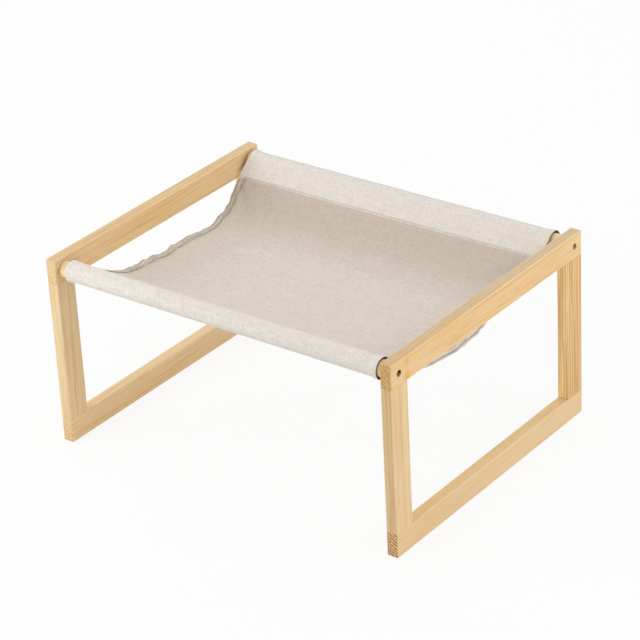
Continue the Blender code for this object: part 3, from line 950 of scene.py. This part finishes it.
    def hang(self, x, lift, along):
        """Place across and lift of a point of the seat, with the loose right hem hanging down."""
        past = x - (self.half_width - HANG_REACH)
        held = min(1.0, to_seam(along) / HANG_FADE)
        bend = HANG_TURN * held / HANG_REACH
        if past <= 0 or bend == 0:
            return x, lift
        turn = bend * past
        sideways = x - past + math.sin(turn) / bend + lift * math.sin(turn)
        return sideways, lift * math.cos(turn) - (1 - math.cos(turn)) / bend

    def place_column(self, column):
        """The points of the cloth at one place across."""
        across = column[0] / self.half_width
        path = self.column_path(across)
        places = []
        for index, (mark, along, point) in enumerate(path):
            before = path[max(index - 1, 0)][2]
            after = path[min(index + 1, len(path) - 1)][2]
            way = (after - before).normalized()
            lift = self.lift(mark, along, column, self.run[index])
            sideways = column[0]
            if mark == "seat":
                sideways, lift = self.hang(sideways, lift, along)
            point = point + Vector((-way.y, way.x)) * lift
            x = self.middle_x + sideways + side_shift(along, across)
            places.append((x, point.x, point.y))
        return places

    def place_points(self):
        """Places every point of the sheet, row by row along the cloth."""
        middle_path = self.column_path(0.0)
        self.marks = [mark for mark, along, point in middle_path]
        self.run = [0.0]
        for before, after in zip(middle_path, middle_path[1:]):
            self.run.append(self.run[-1] + (after[2] - before[2]).length)
        columns = [self.place_column(column) for column in self.columns]
        self.points = np.array(columns).transpose(1, 0, 2)
        normals = np.cross(np.gradient(self.points, axis=1), np.gradient(self.points, axis=0))
        self.normals = normals / np.linalg.norm(normals, axis=2, keepdims=True)

    def marked(self, wanted):
        """The rows of the sheet that have a mark."""
        return [row for row, mark in enumerate(self.marks) if mark == wanted]

    def lay(self):
        """Places in the sheet's own map that its finish needs."""
        middle = self.columns[-1][3] / 2
        fold = max(self.columns)[3] - middle
        rows = [self.columns[column][3] - middle for column in self.row_columns(1)]
        front_seam = self.run[self.marks.index("stitched")]
        seat = self.marked("seat")
        rear_half = len(self.run) // 2
        heights = self.points[rear_half:, len(self.columns) // 2, 2]
        rear_top = self.run[rear_half + int(np.argmax(heights))]
        # Where the painted shade on the sleeves is measured from: the rear sleeve's top and the
        # front seam
        starts = (rear_top, front_seam)
        dulled = [(start + past, *rest) for start, (past, *rest) in zip(starts, SLEEVE_SHADE)]
        seat_span = (self.run[seat[0]], self.run[seat[-1]])
        return Lay(middle, fold, rows, front_seam, seat_span, dulled)

    def make_sheet(self):
        """The sheet as a closed cloth with a real thickness and a map in metres."""
        rows, columns = self.points.shape[:2]
        faces = []
        for row in range(rows - 1):
            for column in range(columns - 1):
                first = row * columns + column
                faces.append((first, first + 1, first + columns + 1, first + columns))
        mesh = bpy.data.meshes.new("canvas_sling")
        mesh.from_pydata(self.points.reshape(-1, 3).tolist(), [], faces)
        flat_map = mesh.uv_layers.new(name="cloth")
        for loop in mesh.loops:
            row, column = divmod(loop.vertex_index, columns)
            flat_map.data[loop.index].uv = (self.columns[column][3], self.run[row])
        mesh.materials.append(canvas_finish(self.lay()))
        sheet = add_object("canvas_sling", mesh)
        select_only(sheet)
        solid = sheet.modifiers.new("thickness", "SOLIDIFY")
        solid.thickness = CANVAS
        solid.offset = 0.0
        bpy.ops.object.modifier_apply(modifier=solid.name)
        bpy.ops.object.shade_smooth()
        self.paint_sleeve_shade(sheet.data)
        return sheet

    def paint_sleeve_shade(self, mesh):
        """Gives the faces that are turned to a dowel, and the mouths' rims, the finish of painted
        shade.
        """
        mesh.materials.append(sleeve_shade_finish())
        for face in mesh.polygons:
            for dowel in (self.front, self.rear):
                inward = Vector((0.0, dowel.y - face.center.y, dowel.z - face.center.z))
                least = RIM_FACING if abs(face.normal.x) > 0.5 else SHADED_FACING
                if inward.length < SHADED_REACH and inward.normalized().dot(face.normal) > least:
                    face.material_index = 1

    def row_columns(self, side):
        """The columns that a hem's rows of stitches follow, in both of its layers."""
        xs = np.array([column[0] for column in self.columns])
        layers = np.array([column[1] for column in self.columns])
        found = []
        for inset in HEM_ROWS:
            distance = abs(xs - side * (self.half_width - inset))
            for layer in (0.0, 1.0):
                found.append(int(np.argmin(np.where(layers == layer, distance, 1.0))))
        return found

    def seam_lines(self):
        """Lines of points and normals for the two seams, above and below the cloth."""
        seams = self.marked("seam")
        rows = self.marked("stitched") + [seams[1], seams[-2]]
        inside = SEAM_ROW_COLUMNS
        return [(self.points[row, inside], -self.normals[row, inside]) for row in rows]

    def hem_lines(self):
        """Lines of points and normals for the rows of each hem, above and below the cloth."""
        seat = self.marked("seat")
        rows = slice(seat[0] + 1, seat[-1])
        lines = []
        for side in (-1, 1):
            for column in self.row_columns(side):
                facing = 1.0 if self.columns[column][1] else -1.0
                lines.append((self.points[rows, column], self.normals[rows, column] * facing))
        return lines


def stitch_shape():
    """One stitch along X: a six-sided thread that narrows to both ends."""
    deselect()
    bpy.ops.mesh.primitive_cylinder_add(
        vertices=6,
        radius=STITCH_RADIUS,
        depth=STITCH_LENGTH * (1 - 2 * STITCH_TIP),
        rotation=(0.0, math.pi / 2, 0.0),
    )
    stitch = bpy.context.active_object
    bpy.ops.object.transform_apply(location=False, rotation=True, scale=False)
    for end in (-1, 1):
        for face in stitch.data.polygons:
            face.select = face.normal.x * end > 0.9
        bpy.ops.object.mode_set(mode="EDIT")
        bpy.ops.mesh.select_mode(type="FACE")
        step = Vector((end * STITCH_LENGTH * STITCH_TIP, 0.0, 0.0))
        bpy.ops.mesh.extrude_region_move(TRANSFORM_OT_translate={"value": step})
        bpy.ops.transform.resize(value=(1.0, STITCH_TIP_WIDTH, STITCH_TIP_WIDTH))
        bpy.ops.mesh.select_all(action="DESELECT")
        bpy.ops.object.mode_set(mode="OBJECT")
    shape = stitch.data.copy()
    bpy.data.objects.remove(stitch)
    return shape


def lay_stitches(name, lines, finish):
    """Copies the stitch at an even pitch along lines of points, half sunk into the cloth."""
    shape = stitch_shape()
    shape_points = np.array([vertex.co for vertex in shape.vertices])
    shape_faces = [tuple(face.vertices) for face in shape.polygons]
    corners = []
    faces = []
    for points, normals in lines:
        lengths = np.r_[0.0, np.cumsum(np.linalg.norm(np.diff(points, axis=0), axis=1))]

        def at(values, place):
            return np.array([np.interp(place, lengths, values[:, axis]) for axis in range(3)])

        for number in range(int(lengths[-1] / STITCH_PITCH)):
            place = (number + 0.5) * STITCH_PITCH
            ahead = at(points, place + STITCH_LENGTH / 2)
            behind = at(points, place - STITCH_LENGTH / 2)
            way = Vector(ahead - behind).normalized()
            side = Vector(at(normals, place)).cross(way).normalized()
            up = way.cross(side)
            centre = at(points, place) + np.array(up) * CANVAS / 2
            first = len(corners)
            corners.extend((shape_points @ np.array((way, side, up)) + centre).tolist())
            faces.extend(tuple(first + corner for corner in face) for face in shape_faces)
    mesh = bpy.data.meshes.new(name)
    mesh.from_pydata(corners, [], faces)
    mesh.materials.append(finish)
    thread = add_object(name, mesh)
    select_only(thread)
    bpy.ops.object.shade_smooth()
    return thread


def make_sling():
    sling = Sling()
    sheet = sling.make_sheet()
    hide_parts("sling")
    thread = thread_finish()
    seams = lay_stitches("seam_stitches", sling.seam_lines(), thread)
    hems = lay_stitches("hem_stitches", sling.hem_lines(), thread)
    for piece in (sheet, seams, hems):
        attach(piece, "sling")


def glue_film(name, low, high, finish):
    """A film of dried glue that fills the gap of a butt joint, with its corners rounded."""
    size = high - low
    deselect()
    bpy.ops.mesh.primitive_cube_add(size=1.0, location=(low + high) / 2, scale=size)
    film = bpy.context.active_object
    film.name = name
    bpy.ops.object.transform_apply(location=True, rotation=False, scale=True)
    for edge in film.data.edges:
        first, second = (film.data.vertices[corner].co for corner in edge.vertices)
        edge.select = abs(first.z - second.z) > GLUE_THICKNESS / 2
    bpy.ops.object.mode_set(mode="EDIT")
    bpy.ops.mesh.select_mode(type="EDGE")
    bpy.ops.mesh.bevel(offset=POST_ROUND, segments=4)
    bpy.ops.object.mode_set(mode="OBJECT")
    film.data.materials.append(finish)
    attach(film, "frame")


def make_glue():
    """One film in each joint between a post and a rail."""
    finish = glue_finish()
    shrink = Vector((GLUE_SHRINK, GLUE_SHRINK, 0.0))
    for side in ("left", "right"):
        for end in ("front", "rear"):
            post_low, post_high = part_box(f"{side}_{end}_post")
            for level, rail_face, post_face in (
                ("top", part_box(f"{side}_top_rail")[0].z, post_high.z),
                ("bottom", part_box(f"{side}_bottom_rail")[1].z, post_low.z),
            ):
                height = (rail_face + post_face) / 2
                low = Vector((post_low.x, post_low.y, height - GLUE_THICKNESS / 2)) + shrink
                high = Vector((post_high.x, post_high.y, height + GLUE_THICKNESS / 2)) - shrink
                glue_film(f"{side}_{end}_{level}_glue", low, high, finish)


def white_to_the_eye(nodes, lit, white, share):
    """Shows the camera and glossy surfaces a share of plain white in place of the lit surface."""
    rays = nodes.node("LightPath")
    seen = rays["Is Camera Ray"].most(rays["Is Glossy Ray"]).most(rays["Is Transmission Ray"])
    return nodes.node("MixShader", None, {0: seen * share, 1: lit, 2: white})["Shader"]


def make_floor():
    deselect()
    bpy.ops.mesh.primitive_plane_add(size=FLOOR_SIZE, location=FLOOR_PLACE)
    floor = bpy.context.active_object
    floor.name = "floor"
    finish = Finish("pale_floor")
    finish.surface(Base_Color=FLOOR_COLOUR, Roughness=0.9, Specular_IOR_Level=0.1)
    lit = Socket(finish, finish.shader.outputs[0])
    white = finish.node("Emission")["Emission"]
    seen = white_to_the_eye(finish, lit, white, FLOOR_WHITE)
    finish.put(finish.tree.nodes["Material Output"].inputs["Surface"], seen)
    floor.data.materials.append(finish.material)


def make_world():
    world = bpy.data.worlds.new("studio")
    world.use_nodes = True
    nodes = Nodes(world.node_tree)
    soft = nodes.node("Background", None, {"Color": ROOM_COLOUR, "Strength": ROOM_LIGHT})
    white = nodes.node("Background", None, {"Color": WHITE, "Strength": 1.0})
    seen = white_to_the_eye(nodes, soft["Background"], white["Background"], 1.0)
    nodes.put(nodes.tree.nodes["World Output"].inputs["Surface"], seen)
    bpy.context.scene.world = world


def make_lamps():
    for name, place, target, size, power in LAMPS:
        light = bpy.data.lights.new(name, "AREA")
        light.shape = "SQUARE"
        light.size = size
        light.energy = power
        light.color = LAMP_COLOUR
        softbox = add_object(name, light)
        softbox.location = place
        way = Vector(target) - Vector(place)
        softbox.rotation_euler = way.to_track_quat("-Z", "Y").to_euler()
        softbox.visible_camera = False


def make_camera():
    view = bpy.data.cameras.new("camera")
    view.sensor_width = SENSOR_WIDTH
    view.lens = FOCAL_PIXELS / PICTURE_PIXELS * SENSOR_WIDTH
    camera = add_object("camera", view)
    forward = CAMERA_RIGHT.cross(CAMERA_DOWN)
    turn = Matrix((CAMERA_RIGHT, -CAMERA_DOWN, -forward)).transposed()
    camera.matrix_world = Matrix.Translation(CAMERA_PLACE) @ turn.to_4x4()
    bpy.context.scene.camera = camera


finish_timber()
finish_small_parts()
make_sling()
make_glue()
make_floor()
make_world()
make_lamps()
make_camera()
bpy.context.scene.view_settings.view_transform = "Standard"
